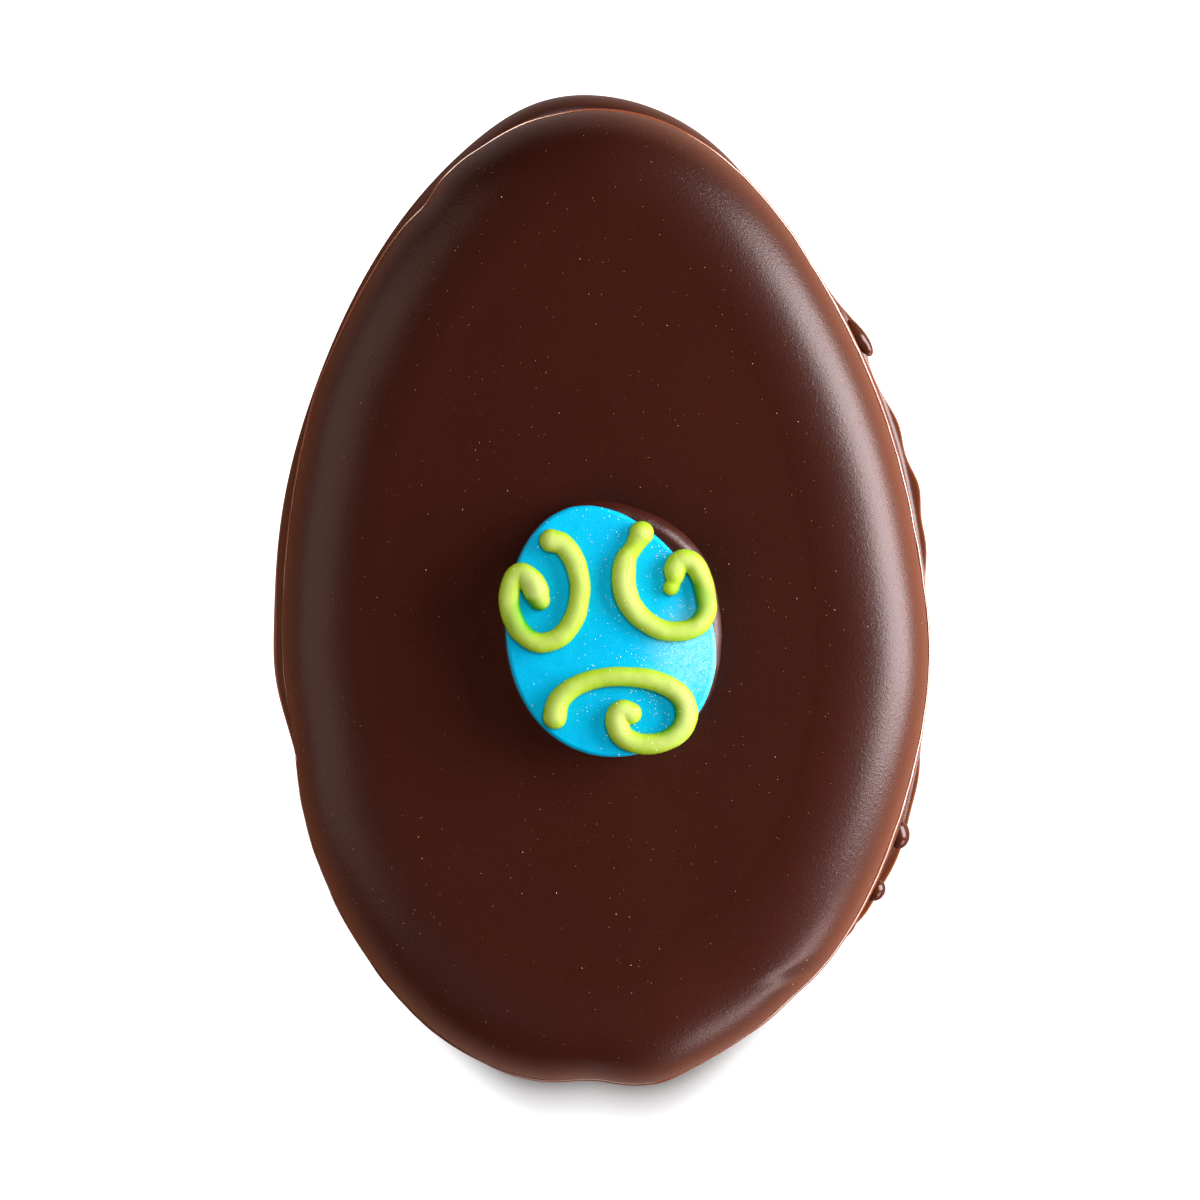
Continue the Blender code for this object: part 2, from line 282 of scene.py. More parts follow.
def lump_height(graph, direction, lumps):
    """How far the lumps push out at a direction in degrees."""
    total = None
    for at, spread, height in lumps:
        away = (direction + (540.0 - at)).math("MODULO", 360.0) - 180.0
        lump = (away * away * (-1.0 / spread ** 2)).math("EXPONENT") * height
        total = lump if total is None else total + lump
    return total


def egg_outline(graph, turn):
    """Plan place and outward direction at a turn in radians round the tree's tapered ellipse."""
    half_width, half_length = graph.size("Half Width"), graph.size("Half Length")
    taper = graph.size("Taper")
    sine, cosine = turn.math("SINE"), turn.math("COSINE")
    x = half_width * cosine * (1.0 - taper * sine)
    y = half_length * sine
    out_x = half_length * cosine
    out_y = half_width * (sine + taper * (turn * 2.0).math("COSINE"))
    length = (out_x * out_x + out_y * out_y).math("SQRT")
    return x, y, out_x / length, out_y / length


def egg_sizes(size, **others):
    labels = {"Half Width": size[0], "Half Length": size[1], "Taper": size[2]}
    return {**labels, **{name.replace("_", " ").title(): value for name, value in others.items()}}


def wrapped_grid(graph):
    """A sheet to roll up into a layer, and how far each corner is round it and up it, both 0 to 1."""
    grid = graph.add("GeometryNodeMeshGrid", {}, {
        "Size X": 1.0, "Size Y": 1.0, "Vertices X": graph.size("Around"), "Vertices Y": graph.size("Up")})
    across = graph.add("ShaderNodeSeparateXYZ", {}, {0: grid.output("UV Map")})
    return grid, across.output("X"), across.output("Y")


def placed(graph, geometry, x, y, z):
    spot = graph.add("ShaderNodeCombineXYZ", {}, {"X": x, "Y": y, "Z": z})
    return graph.add("GeometryNodeSetPosition", {}, {"Geometry": geometry, "Position": spot})


def circle(graph, corners):
    return graph.add("GeometryNodeCurvePrimitiveCircle", {}, {"Resolution": corners, "Radius": 1.0})


def closed(graph, geometry):
    """The rolled sheet with its seam and its poles closed."""
    return graph.add("GeometryNodeMergeByDistance", {}, {"Geometry": geometry, "Distance": 0.002 * MM})


def kept(graph, geometry, name, value):
    """The geometry with a number stored at each corner for its material."""
    return graph.add("GeometryNodeStoreNamedAttribute", {"data_type": "FLOAT", "domain": "POINT"},
                     {"Geometry": geometry, "Name": name, "Value": value})


def bands(graph, up_share, *ends):
    """How far through each band of the sheet a corner is, 0 to 1, from where the bands end."""
    return [graph.stretch(up_share, start, end) for start, end in zip((0.0, *ends), (*ends, 1.0))]


def quarter(angle_share):
    """Sine and cosine at a share of a quarter turn."""
    angle = angle_share * (math.pi / 2)
    return angle.math("SINE"), angle.math("COSINE")


def uneven(graph, geometry, scale, depth, seed):
    """The surface pushed in and out a little along its normals by soft noise."""
    place = graph.add("GeometryNodeInputPosition")
    moved = graph.add("ShaderNodeVectorMath", {"operation": "ADD"}, {0: place, 1: (seed, seed, seed)})
    height = (graph.noise(moved, scale, 1.0) - 0.5) * depth
    normal = graph.add("GeometryNodeInputNormal")
    push = graph.add("ShaderNodeVectorMath", {"operation": "SCALE"}, {0: normal, "Scale": height})
    return graph.add("GeometryNodeSetPosition", {}, {"Geometry": geometry, "Offset": push})


def make_upper_layer(material):
    """The upper layer: tucked in below, steep at the rim, with a broad rounded shoulder."""
    graph = Maker("upper_layer_shape", egg_sizes(
        UPPER_SIZE, around=512, up=168, base=LOWER_TOP - SUNK, tuck=1.6 * MM, tuck_height=2.9 * MM,
        side_height=1.2 * MM, shoulder_width=12.0 * MM, shoulder_height=8.5 * MM, shoulder_power=2.2,
        crown=0.6 * MM))
    grid, round_share, up_share = wrapped_grid(graph)
    turn = round_share * (2 * math.pi)
    x, y, out_x, out_y = egg_outline(graph, turn)
    direction = y.math("ARCTAN2", x) * DEGREES

    under, tucked, side, over, top = bands(graph, up_share, 0.05, 0.17, 0.22, 0.82)
    low_sine, low_cosine = quarter(1.0 - tucked)
    high_sine, high_cosine = quarter(over)
    share = 1.0 - top

    power = 2.0 / graph.size("Shoulder Power")
    wide = 1.0 + lump_height(graph, direction, (SHOULDER_SWELL,))
    shoulder = (1.0 - high_cosine ** power) * graph.size("Shoulder Width") * wide
    rise = high_sine ** power * graph.size("Shoulder Height")
    inset = (1.0 - low_cosine) * graph.size("Tuck") + shoulder
    height = (graph.size("Base") + graph.size("Tuck Height") * (1.0 - low_sine)
              + side * graph.size("Side Height") + rise + (1.0 - share * share) * graph.size("Crown"))
    lump_fade = graph.stretch(shoulder, 0.0, 12 * MM, 1.0, 0.4)
    dent_fade = graph.stretch(shoulder, 0.2 * MM, 3.0 * MM, 1.0, 0.0, smooth=True)
    grow = (lump_height(graph, direction, UPPER_LUMPS) * lump_fade
            + lump_height(graph, direction, UPPER_DENTS) * dent_fade - inset)
    fold_fade = graph.stretch(shoulder, 0.8 * MM, 4.5 * MM, 1.0, 0.0, smooth=True)
    fold = lump_height(graph, direction - shoulder * FOLD_SLANT, (FOLD,)) * (fold_fade * side)
    reach = under * share
    place_x = (x + out_x * grow) * reach + MIDDLE[0]
    place_y = (y + out_y * grow) * reach + MIDDLE[1]
    layer = placed(graph, grid, place_x, place_y, height + fold)
    # The pale warm rim band: partly the thinner coat's own colour, partly painted glow of light on the steep
    # rim.
    pale_rim_width = lump_height(graph, direction, THIN_COAT_AND_GLOW) + 4.0 * MM
    rim = graph.stretch(shoulder, 0.0, pale_rim_width, 1.0, 0.0) * tucked
    layer = kept(graph, layer, "rim", rim)
    layer = closed(graph, layer)
    layer = uneven(graph, layer, 70.0, 0.2 * MM, 3.0)
    graph.finish(layer, material)
    return graph.make("upper_cake_layer", material)


def make_rim_bead(material):
    """The thin bead round the upper layer's wall, where its coat ran together as it set."""
    graph = Maker("rim_bead_shape", egg_sizes(
        UPPER_SIZE, around=1800, ring=14, height=LOWER_TOP + BEAD_HEIGHT, radius=BEAD_RADIUS,
        stand_off=0.06 * MM))
    line = circle(graph, graph.size("Around"))
    turn = graph.add("GeometryNodeInputIndex") / graph.size("Around") * (2 * math.pi)
    x, y, out_x, out_y = egg_outline(graph, turn)
    direction = y.math("ARCTAN2", x) * DEGREES
    lumps = (*UPPER_LUMPS, *UPPER_DENTS, BEAD_SUNK)
    grow = lump_height(graph, direction, lumps) + graph.size("Stand Off")
    place_x = x + out_x * grow + MIDDLE[0]
    place_y = y + out_y * grow + MIDDLE[1]
    line = placed(graph, line, place_x, place_y, graph.size("Height"))
    line = uneven(graph, line, 260.0, 0.2 * MM, 7.0)
    place = graph.add("GeometryNodeInputPosition")
    thickness = graph.stretch(graph.noise(place, 90.0, 2.0), 0.3, 0.6, 0.6, 1.15)
    radius = graph.size("Radius") * thickness + lump_height(graph, direction, BEAD_LUMPS)
    bead = graph.add("GeometryNodeCurveToMesh", {}, {
        "Curve": line, "Profile Curve": circle(graph, graph.size("Ring")), "Scale": radius})
    bead = kept(graph, bead, "crisp", 1.0)
    # The bead takes some of the pale rim colour, which is partly painted glow.
    bead = kept(graph, bead, "rim", 0.4)
    graph.finish(bead, material)
    return graph.make("rim_bead", material)


def make_foot_drop(name, drop, material):
    """A round drop of chocolate that set against the foot: a squashed ball, flat on the table."""
    x, y, length, width, height, turn = drop
    graph = Maker(name + "_shape", {"Half Length": length, "Half Width": width, "Height": height,
                                    "Turn": math.radians(turn)})
    ball = graph.add("GeometryNodeMeshUVSphere", {}, {"Segments": 72, "Rings": 48, "Radius": 1.0})
    scale = graph.add("ShaderNodeCombineXYZ", {}, {
        "X": graph.size("Half Length"), "Y": graph.size("Half Width"), "Z": graph.size("Height")})
    rotation = graph.add("ShaderNodeCombineXYZ", {}, {"Z": graph.size("Turn")})
    ball = graph.add("GeometryNodeTransform", {}, {
        "Geometry": ball, "Translation": (x + MIDDLE[0], y + MIDDLE[1], 0.0),
        "Rotation": rotation, "Scale": scale})
    spot = graph.add("ShaderNodeSeparateXYZ", {}, {0: graph.add("GeometryNodeInputPosition")})
    ball = placed(graph, ball, spot.output("X"), spot.output("Y"), spot.output("Z").math("MAXIMUM", 0.0))
    ball = uneven(graph, ball, 420.0, 0.3 * MM, 2.0)
    ball = kept(graph, ball, "crisp", 1.0)
    ball = kept(graph, ball, "thin", graph.stretch(spot.output("Z"), 0.0, 0.6 * MM, 0.6, 0.12))
    graph.finish(ball, material)
    return graph.make(name, material)


def make_lower_layer(material):
    """The lower layer, with the thin foot of chocolate that spread from it as it set."""
    graph = Maker("lower_layer_shape", egg_sizes(
        LOWER_SIZE, around=720, up=110, top=LOWER_TOP, lip=0.35 * MM, foot_height=1.9 * MM,
        foot_least=0.2 * MM, foot_sweep=7.0, bulge=0.15 * MM, shoulder_width=2.6 * MM,
        shoulder_height=3.2 * MM))
    grid, round_share, up_share = wrapped_grid(graph)
    turn = round_share * (2 * math.pi)
    x, y, out_x, out_y = egg_outline(graph, turn)
    direction = y.math("ARCTAN2", x) * DEGREES
    foot = graph.size("Foot Least") + lump_height(graph, direction, FOOT_LUMPS)

    under, lip, foot_rise, side, over, top = bands(graph, up_share, 0.05, 0.13, 0.45, 0.65, 0.9)
    slope = foot_rise ** 2.0
    high_sine, high_cosine = quarter(over)
    lip_sine = quarter(lip)[0]
    spread = foot * (1.0 - slope) ** graph.size("Foot Sweep")
    shoulder = (1.0 - high_cosine) * graph.size("Shoulder Width")
    lip_height, foot_height = graph.size("Lip"), graph.size("Foot Height")
    shoulder_height = graph.size("Shoulder Height")
    side_height = graph.size("Top") - shoulder_height - lip_height - foot_height
    height = lip_sine * lip_height + slope * foot_height + side * side_height + high_sine * shoulder_height
    bulge = (side * math.pi).math("SINE") * graph.size("Bulge")
    lean_in = lip_sine * (0.1 * MM)
    grow = lump_height(graph, direction, LOWER_LUMPS) + spread + bulge - shoulder - lean_in
    reach = under * (1.0 - top)
    place_x = (x + out_x * grow) * reach + MIDDLE[0] + LOWER_SHIFT[0]
    place_y = (y + out_y * grow) * reach + MIDDLE[1] + LOWER_SHIFT[1]
    layer = placed(graph, grid, place_x, place_y, height)
    foot_share = spread / foot
    layer = kept(graph, layer, "thin", foot_share * 0.3 + graph.stretch(foot_share, 0.85, 1.0) * 0.6)
    # The lower layer's pale rim: partly a thinner coat, partly painted glow of light on its walls and
    # shoulder.
    layer = kept(graph, layer, "rim", (1.0 - graph.stretch(shoulder, 0.0, 2.6 * MM)) * slope * 0.85)
    layer = kept(graph, layer, "crisp", 1.0 - slope)
    layer = closed(graph, layer)
    graph.finish(layer, material)
    return graph.make("lower_cake_layer", material)


def leaned(x, y):
    """A plan place turned by the sugar egg's lean and carried to its middle."""
    cosine, sine = math.cos(SUGAR_LEAN), math.sin(SUGAR_LEAN)
    return x * cosine - y * sine + SUGAR_MIDDLE[0], x * sine + y * cosine + SUGAR_MIDDLE[1]


def make_dab(material):
    """The soft mound of chocolate under the sugar egg, showing along its right side."""
    base = DAB_BOTTOM - GAP - SUNK
    graph = Maker("dab_shape", egg_sizes(
        SUGAR_SIZE, around=256, up=48, base=base, height=DAB_TOP - base, margin=0.22 * MM,
        edge_width=1.8 * MM))
    grid, round_share, up_share = wrapped_grid(graph)
    x, y, out_x, out_y = egg_outline(graph, round_share * (2 * math.pi))
    direction = y.math("ARCTAN2", x) * DEGREES
    under, edge, top = bands(graph, up_share, 0.08, 0.8)
    sine, cosine = quarter(edge)
    inset = (1.0 - cosine) * graph.size("Edge Width")
    grow = graph.size("Margin") + lump_height(graph, direction, DAB_LUMPS) - inset
    reach = under * (1.0 - top)
    place_x, place_y = leaned((x + out_x * grow) * reach, (y + out_y * grow) * reach)
    mound = placed(graph, grid, place_x, place_y, graph.size("Base") + sine ** 1.3 * graph.size("Height"))
    mound = closed(graph, mound)
    mound = uneven(graph, mound, 260.0, 0.25 * MM, 5.0)
    graph.finish(mound, material)
    return graph.make("chocolate_mound", material)


def make_sugar_egg(material):
    """The moulded sugar egg: a thick disc with a rounded rim and a low dome."""
    graph = Maker("sugar_egg_shape", egg_sizes(
        SUGAR_SIZE, around=360, up=110, base=DAB_TOP - SUNK, rim_width=0.5 * MM, rim_height=0.7 * MM,
        height=SUGAR_TOP - DAB_TOP + SUNK, dome=SUGAR_DOME))
    grid, round_share, up_share = wrapped_grid(graph)
    x, y, out_x, out_y = egg_outline(graph, round_share * (2 * math.pi))
    under, side, rim, top = bands(graph, up_share, 0.1, 0.25, 0.55)
    sine, cosine = quarter(rim)
    share = 1.0 - top
    rim_height = graph.size("Rim Height")
    straight = graph.size("Height") - rim_height - graph.size("Dome")
    inset = (1.0 - cosine) * graph.size("Rim Width") + (1.0 - side) * (0.25 * MM)
    reach = under * share
    place_x, place_y = leaned((x - out_x * inset) * reach, (y - out_y * inset) * reach)
    height = (graph.size("Base") + side * straight + sine * rim_height
              + (1.0 - share * share) * graph.size("Dome"))
    egg = placed(graph, grid, place_x, place_y, height)
    egg = closed(graph, egg)
    egg = uneven(graph, egg, 420.0, 0.12 * MM, 9.0)
    graph.finish(egg, material)
    return graph.make("sugar_egg", material)


def piped_curve(name, points):
    """A line of control points with a radius at each, round the middle of the sugar egg."""
    data = bpy.data.curves.new(name + "_line", "CURVE")
    data.dimensions = "3D"
    line = data.splines.new("POLY")
    line.points.add(len(points) - 1)
    for point, (x, y, radius) in zip(line.points, points):
        point.co = (x * MM + SUGAR_MIDDLE[0], y * MM + SUGAR_MIDDLE[1], 0.0, 1.0)
        point.radius = radius
    return bpy.data.objects.new(name + "_line", data)


def finish_rope(holder):
    """Melts the rope's ends and tight bends into one smooth skin."""
    melt = holder.modifiers.new("melt", "REMESH")
    melt.mode = "VOXEL"
    melt.voxel_size = 0.085 * MM
    melt.use_smooth_shade = True
    soften = holder.modifiers.new("soften", "SMOOTH")
    soften.factor = 0.5
    soften.iterations = 5


def make_swirl(name, points, material):
    """A piped line: a round rope of icing pressed down on the dome, with blunt round ends."""
    graph = Maker(name + "_shape", {
        "Half Width": SUGAR_SIZE[0], "Half Length": SUGAR_SIZE[1], "Taper": SUGAR_SIZE[2],
        "Flatness": 0.78, "Lift": 0.5 * MM, "Step": 0.12 * MM, "Dome": SUGAR_DOME})
    line = graph.add("GeometryNodeCurveSplineType", {"spline_type": "CATMULL_ROM"},
                     {"Curve": graph.geometry()})
    line = graph.add("GeometryNodeSetSplineResolution", {}, {"Geometry": line, "Resolution": 16})
    line = graph.add("GeometryNodeResampleCurve", {"mode": "LENGTH"},
                     {"Curve": line, "Length": graph.size("Step")})
    radius = graph.add("GeometryNodeInputRadius") * MM
    rope = graph.add("GeometryNodeCurveToMesh", {}, {
        "Curve": line, "Profile Curve": circle(graph, 28), "Scale": radius, "Fill Caps": True})
    ball = graph.add("GeometryNodeMeshIcoSphere", {}, {"Radius": 1.0, "Subdivisions": 4})
    tips = graph.add("GeometryNodeCurveEndpointSelection", {}, {"Start Size": 1, "End Size": 1})
    ends = graph.add("GeometryNodeInstanceOnPoints", {}, {
        "Points": line, "Selection": tips, "Instance": ball, "Scale": radius})
    ends = graph.add("GeometryNodeRealizeInstances", {}, {"Geometry": ends})
    both = graph.add("GeometryNodeJoinGeometry", {}, {"Geometry": rope})
    graph.tree.links.new(ends.socket, both.socket.node.inputs[0])
    place = graph.add("ShaderNodeSeparateXYZ", {}, {0: graph.add("GeometryNodeInputPosition")})
    x, y, z = place.output("X"), place.output("Y"), place.output("Z")
    cosine, sine = math.cos(SUGAR_LEAN), math.sin(SUGAR_LEAN)
    off_x, off_y = x - SUGAR_MIDDLE[0], y - SUGAR_MIDDLE[1]
    across, along = off_x * cosine + off_y * sine, off_y * cosine - off_x * sine
    along = along / graph.size("Half Length")
    across = across / (graph.size("Half Width") * (1.0 - graph.size("Taper") * along))
    share = (across * across + along * along).math("MINIMUM", 1.0)
    height = SUGAR_TOP - graph.size("Dome") * share + graph.size("Lift") + z * graph.size("Flatness")
    rope = placed(graph, both, x, y, height)
    rope = uneven(graph, rope, 500.0, 0.16 * MM, float(len(name)))
    graph.finish(rope, material)
    return graph.make("piped_" + name, material, piped_curve(name, points), finish_rope)


def sugared(graph):
    """How thickly the sugar lies on the sugar egg: in drifts, mostly towards its right side."""
    place = graph.add("GeometryNodeInputPosition")
    spot = graph.add("ShaderNodeSeparateXYZ", {}, {0: place})
    middle = SUGAR_MIDDLE[0]
    rightward = graph.stretch(spot.output("X"), middle - 5 * MM, middle + 8 * MM, smooth=True)
    drift = graph.stretch(graph.noise(place, 330.0, 2.0), 0.42, 0.62, smooth=True)
    return 0.07 + rightward * (0.12 + drift * 0.8)


def scatter(name, target, material, amount, seed, weigh=None):
    """Small grains set into the upward faces of a piece, at random turns and sizes."""
    density, least, most = amount
    graph = Maker(name + "_scatter", {"Density": density, "Least": least, "Most": most, "Seed": seed})
    normal = graph.add("ShaderNodeSeparateXYZ", {}, {0: graph.add("GeometryNodeInputNormal")})
    upward = normal.output("Z").math("GREATER_THAN", LEAST_UPWARD)
    weight = weigh(graph) if weigh else 1.0
    spots = graph.add("GeometryNodeDistributePointsOnFaces", {"distribute_method": "RANDOM"}, {
        "Mesh": graph.geometry(), "Selection": upward, "Density": graph.size("Density") * weight,
        "Seed": graph.size("Seed")})
    turn = graph.add("FunctionNodeRandomValue", {"data_type": "FLOAT_VECTOR"}, {
        0: (0.0, 0.0, 0.0), 1: (FULL_TURN, FULL_TURN, FULL_TURN), "Seed": graph.size("Seed")})
    grow = graph.add("FunctionNodeRandomValue", {"data_type": "FLOAT"}, {
        2: graph.size("Least"), 3: graph.size("Most"), "Seed": graph.size("Seed")}, out=1)
    grain = graph.add("GeometryNodeMeshCube", {}, {"Size": (1.0, 1.0, 0.8)})
    grains = graph.add("GeometryNodeInstanceOnPoints", {}, {
        "Points": spots, "Instance": grain, "Rotation": turn, "Scale": grow})
    graph.finish(grains, material)
    base = bpy.data.objects.new(name + "_target", target.data.copy())
    item = graph.make(name, material, base)
    item.data.shade_flat()
    return item


def principled(name, **settings):
    """A material, its graph and its shader, with the constant sockets set."""
    material = bpy.data.materials.new(name)
    material.use_nodes = True
    shader = material.node_tree.nodes["Principled BSDF"]
    for label, value in settings.items():
        shader.inputs[label.replace("_", " ").title().replace("Ior", "IOR")].default_value = value
    return material, Graph(material.node_tree), shader


def feed(graph, shader, socket, value):
    graph.tree.links.new(value.socket, shader.inputs[socket])


def feed_bump(graph, shader, height, strength, distance):
    inputs = {"Strength": strength, "Distance": distance, "Height": height}
    feed(graph, shader, "Normal", graph.add("ShaderNodeBump", {}, inputs))


def chocolate_material():
    """Set dark chocolate: satin, finely wrinkled, paler and warmer where the coat is thin, with painted glow
    on the rims.
    """
    material, graph, shader = principled("dark_chocolate_coat", specular_tint=(1.0, 0.85, 0.88, 1))
    place = graph.add("ShaderNodeTexCoord").output("Object")
    cloud = graph.noise(place, 60.0, 3.0) * 0.6 + graph.noise(place, 1100.0, 3.0, 0.7) * 0.4
    base = graph.mix(cloud, (0.032, 0.0054, 0.002, 1), (0.049, 0.009, 0.004, 1))
    rim, thin, crisp = (graph.add("ShaderNodeAttribute", {"attribute_name": name}, {}, out=2)
                        for name in ("rim", "thin", "crisp"))
    # Painted glow: the rim mask lightens the steep rims to warm brown, partly the thinner coat's own colour.
    base = graph.mix(rim ** 4.0, base, (0.19, 0.05, 0.018, 1))
    base = graph.mix(thin, base, (0.34, 0.09, 0.028, 1))
    feed(graph, shader, "Base Color", base)
    feed(graph, shader, "Roughness", graph.stretch(crisp, 0.0, 1.0, 0.33, 0.2))
    ridge = (graph.noise(place, 2200.0, 1.0, 0.4, 0.8) - 0.5).math("ABSOLUTE") * (1.0 - crisp * 0.9)
    feed_bump(graph, shader, ridge, 0.5, 0.08 * MM)
    return material


def blue_material():
    """Blue sugar icing: matte, finely grained and brushed, a little deeper in patches, with a painted sheen
    to the right.
    """
    material, graph, shader = principled("blue_sugar_icing", roughness=0.42, specular_ior_level=0.14)
    place = graph.add("ShaderNodeTexCoord").output("Object")
    cloud = graph.noise(place, 180.0, 3.0)
    speck = graph.noise(place, 5200.0, 2.0, 0.6)
    base = graph.mix(cloud, (0.0, 0.45, 0.8, 1), (0.0, 0.52, 0.87, 1))
    # Painted sheen: paler blue towards the right, where the light catches the brushed relief.
    sheen_middle = (SUGAR_MIDDLE[0] + 10 * MM, SUGAR_MIDDLE[1] - 2.5 * MM, SUGAR_TOP)
    brushed = graph.noise(place, 2600.0, 2.0, 0.6, 1.2)
    painted_sheen = graph.stretch(graph.distance(place, sheen_middle), 1.5 * MM, 7 * MM, 0.5, 0.0, smooth=True)
    painted_sheen = painted_sheen * graph.stretch(brushed, 0.3, 0.65, 0.25, 1.0)
    base = graph.mix(painted_sheen, base, (0.45, 0.9, 0.97, 1))
    base = graph.mix(graph.stretch(speck, 0.62, 0.74) * 0.3, base, (0.1, 0.75, 0.97, 1))
    feed(graph, shader, "Base Color", base)
    feed_bump(graph, shader, speck, 0.5, 0.06 * MM)
    return material


def green_material():
    """Lime-green royal icing: matte, smooth, with a painted highlight along its tops and painted shade low
    down and in its hollows.
    """
    material, graph, shader = principled("lime_icing", roughness=0.52, specular_ior_level=0.3)
    place = graph.add("ShaderNodeTexCoord").output("Object")
    cloud = graph.noise(place, 250.0, 3.0)
    grain = graph.noise(place, 4200.0, 2.0, 0.6)
    base = graph.mix(cloud, (0.38, 0.57, 0.016, 1), (0.43, 0.61, 0.034, 1))
    spot = graph.add("ShaderNodeSeparateXYZ", {}, {0: place})
    across = (spot.output("X") - SUGAR_MIDDLE[0]) / SUGAR_SIZE[0]
    along = (spot.output("Y") - SUGAR_MIDDLE[1]) / SUGAR_SIZE[1]
    lift = spot.output("Z") - SUGAR_TOP + (across * across + along * along) * SUGAR_DOME
    # Painted shade: deeper green low on the rope where it meets the dome, partly the icing's translucent
    # edge.
    base = graph.mix(graph.stretch(lift, 0.3 * MM, 1.0 * MM, 1.0, 0.0), base, (0.2, 0.5, 0.0, 1))
    # Painted highlight: paler and yellower along the top of each rope.
    base = graph.mix(graph.stretch(lift, 1.15 * MM, 1.55 * MM, 0.0, 0.65), base, (0.62, 0.71, 0.25, 1))
    near = None
    for x, y in HOLLOWS:
        off_x = spot.output("X") - (SUGAR_MIDDLE[0] + x * MM)
        off_y = spot.output("Y") - (SUGAR_MIDDLE[1] + y * MM)
        away = (off_x * off_x + off_y * off_y).math("SQRT")
        near = away if near is None else near.math("MINIMUM", away)
    # Painted shade: deep green on the inner walls in each hollow, low on the rope.
    deep = graph.stretch(near, 1.5 * MM, 2.8 * MM, 1.0, 0.0, smooth=True)
    deep = deep * graph.stretch(lift, 0.95 * MM, 1.55 * MM, 1.0, 0.0)
    base = graph.mix(deep, base, (0.03, 0.34, 0.0, 1))
    feed(graph, shader, "Base Color", base)
    feed_bump(graph, shader, grain, 0.25, 0.04 * MM)
    return material


def grain_material(name, low, high):
    material, graph, shader = principled(name, roughness=0.25)
    place = graph.add("ShaderNodeTexCoord").output("Object")
    feed(graph, shader, "Base Color", graph.mix(graph.noise(place, 900.0, 2.0), low, high))
    return material


def floor_material():
    """White card with a painted glow, bright enough to leave only the shadow close under the cake."""
    material, graph, shader = principled("white_card", roughness=0.9)
    place = graph.add("ShaderNodeTexCoord").output("Object")
    base = graph.mix(graph.noise(place, 40.0, 2.0), (0.89, 0.89, 0.89, 1), (0.9, 0.9, 0.9, 1))
    feed(graph, shader, "Base Color", base)
    foot = (0.0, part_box("lower_layer")[0][1], 0.0)
    glow = graph.stretch(graph.distance(place, foot), 8 * MM, 25 * MM, smooth=True)
    glow = graph.mix(glow, (FLOOR_GLOW, FLOOR_GLOW, FLOOR_GLOW, 1), (1, 1, 1, 1))
    feed(graph, shader, "Emission Color", glow)
    shader.inputs["Emission Strength"].default_value = 1.0
    return material


def plain_card():
    """The card that the cake reflects and is lit from, in the same lights as the cake."""
    material, graph, shader = principled("lit_card", roughness=0.9)
    place = graph.add("ShaderNodeTexCoord").output("Object")
    base = graph.mix(graph.noise(place, 40.0, 2.0), (0.3, 0.3, 0.3, 1), (0.32, 0.32, 0.32, 1))
    feed(graph, shader, "Base Color", base)
    return material


def add_card(name, height):
    bpy.ops.mesh.primitive_plane_add(size=2.0, location=(0, 0, height))
    card = bpy.context.active_object
    card.name = name
    return card


def add_camera():
    """Straight above and far off, with a long lens that takes in the frame's width at the table."""
    data = bpy.data.cameras.new("camera")
    data.sensor_width = 36.0
    data.lens = data.sensor_width * CAMERA_HEIGHT / FRAME_WIDTH
    camera = bpy.data.objects.new("camera", data)
    camera.location = (MIDDLE[0] + CAMERA_SHIFT[0], MIDDLE[1] + CAMERA_SHIFT[1], CAMERA_HEIGHT)
    bpy.context.scene.collection.objects.link(camera)
    bpy.context.scene.camera = camera


def add_light(name, setting, lit):
    """A soft rectangular light aimed at the cake, from an azimuth counter-clockwise from +X."""
    azimuth, elevation, distance, size, power, colour = setting
    data = bpy.data.lights.new(name, "AREA")
    data.shape = "RECTANGLE"
    data.size, data.size_y = size
    data.energy = power
    data.color = colour
    light = bpy.data.objects.new(name, data)
    around, above = math.radians(azimuth), math.radians(elevation)
    light.location = Vector((math.cos(around) * math.cos(above), math.sin(around) * math.cos(above),
                             math.sin(above))) * distance
    light.rotation_euler = (-light.location).to_track_quat("-Z", "Y").to_euler()
    bpy.context.scene.collection.objects.link(light)
    light.light_linking.receiver_collection = lit
    return light


def group(name, items):
    gathered = bpy.data.collections.new(name)
    for item in items:
        gathered.objects.link(item)
    return gathered


def dress(item, node):
    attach(item, "root")
    if node:
        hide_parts(node)
    return item


chocolate = chocolate_material()
blue = blue_material()
green = green_material()
sugar = grain_material("sugar_grain", (0.75, 0.95, 0.98, 1), (1.0, 1.0, 1.0, 1))
lime_sugar = grain_material("lime_sugar_grain", (0.9, 0.98, 0.45, 1), (1.0, 1.0, 0.8, 1))
crumb = grain_material("pale_crumb", (0.26, 0.09, 0.04, 1), (0.46, 0.22, 0.12, 1))

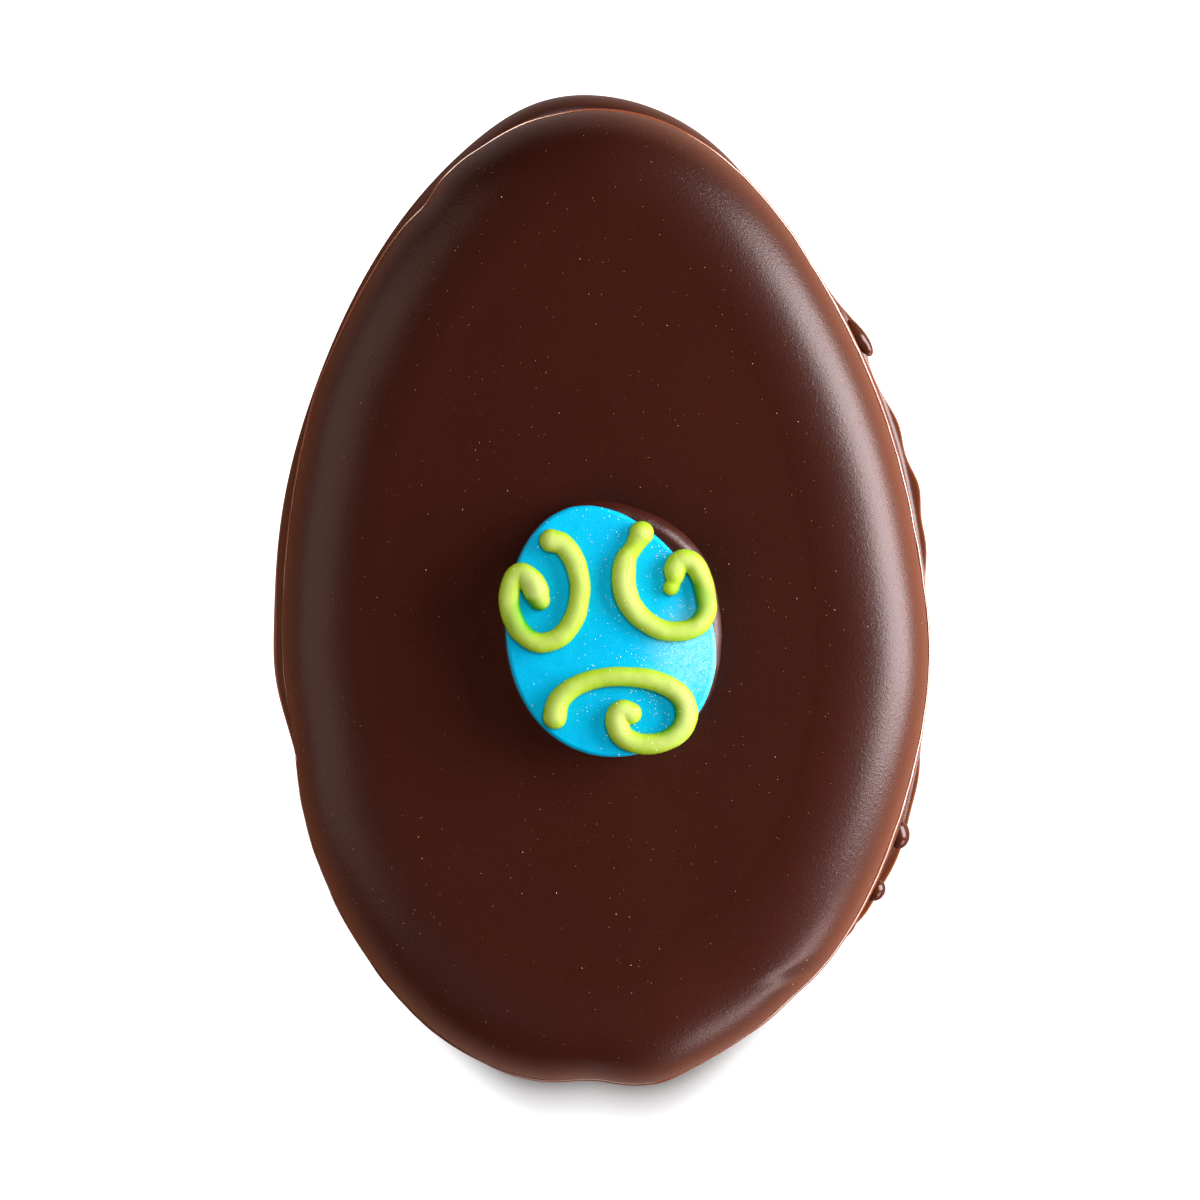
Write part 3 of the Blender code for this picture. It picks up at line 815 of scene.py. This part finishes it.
lower = dress(make_lower_layer(chocolate), "lower_layer")
upper = dress(make_upper_layer(chocolate), "upper_layer")
bead = dress(make_rim_bead(chocolate), None)
drops = [dress(make_foot_drop(f"foot_drop_{place}", drop, chocolate), None)
         for place, drop in enumerate(FOOT_DROPS, 1)]
dab = dress(make_dab(chocolate), "chocolate_dab")
egg = dress(make_sugar_egg(blue), "icing_egg")
swirls = [dress(make_swirl(name, points, green), name) for name, points in SWIRLS.items()]
extras = [dress(scatter("blue_grains", egg, sugar, BLUE_GRAINS, 4, sugared), None)]
for place, item in enumerate(swirls):
    grains = scatter(item.name.replace("piped_swirl", "lime_grains"), item, lime_sugar, LIME_GRAINS, place)
    extras.append(dress(grains, None))
extras.append(dress(scatter("coat_crumbs", upper, crumb, CRUMBS, 11), None))
coat = [lower, upper, bead, *drops, dab, extras[-1]]
icing = [egg, *swirls, *extras[:-1]]
cake = group("cake", [*coat, *icing])

floor = add_card("floor", 0.0)
table = add_card("table_under_floor", -TABLE_DROP)
floor.data.materials.append(floor_material())
table.data.materials.append(plain_card())
floor.visible_glossy = False
floor.visible_diffuse = False
floor.visible_shadow = False
table.visible_camera = False
cake.objects.link(table)
stage = group("stage", [floor])

world = bpy.data.worlds.new("studio")
world.use_nodes = True
world.node_tree.nodes["Background"].inputs[0].default_value = (0.01, 0.01, 0.01, 1)
bpy.context.scene.world = world
bpy.context.scene.view_settings.view_transform = "Standard"
add_light("right_softbox", RIGHT_SOFTBOX, cake)
add_light("lower_right_card", LOWER_RIGHT_CARD, cake)
add_light("left_card", LEFT_CARD, cake)
coat_fill = add_light("coat_fill", COAT_FILL, group("coat", coat))
icing_fill = add_light("icing_fill", ICING_FILL, group("icing", icing))
coat_fill.visible_glossy = icing_fill.visible_glossy = False
add_light("ledge_light", LEDGE_LIGHT, group("ledge", [lower]))
add_light("dab_light", DAB_LIGHT, group("mound", [dab]))
add_light("floor_light", FLOOR_LIGHT, stage)
seam = group("seam", [bead])
for place, setting in enumerate(SEAM_LIGHTS):
    add_light(f"seam_light_{place}", setting, seam)
add_camera()
